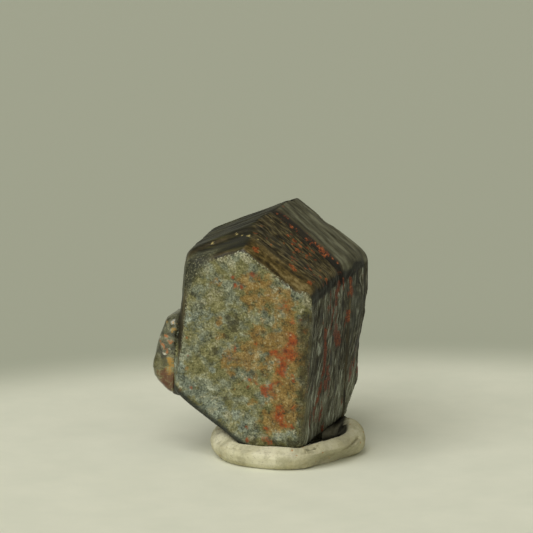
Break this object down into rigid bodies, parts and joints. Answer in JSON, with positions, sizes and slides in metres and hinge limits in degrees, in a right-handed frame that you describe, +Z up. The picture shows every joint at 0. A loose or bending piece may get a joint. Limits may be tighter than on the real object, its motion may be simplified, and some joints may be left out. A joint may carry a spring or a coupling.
{
  "type": "rough sapphire crystal",
  "caption": "Rough sapphire crystal, a stubby six-sided prism with a smaller crystal grown out of one side, pressed upright into a ring of putty that it stands in.",
  "frame": {"origin": "on the surface that the putty ring rests on, below the middle of the whole object's box", "axes": "+Z up, along the longest extent; the crystal's end face looks towards -Y and a little -X, and the small side crystal is on the -X side"},
  "size_m": [0.0188, 0.0174, 0.0212],
  "materials": {
    "sapphire": "natural crystal: frosted grey-green end face with ochre and rust stains, dark glassy striated sides",
    "putty": "matte off-white mounting putty, rolled and pressed by hand"
  },
  "bodies": {
    "root": {"sapphire_crystal": "sapphire", "putty_ring": "putty"}
  },
  "joints": []
}
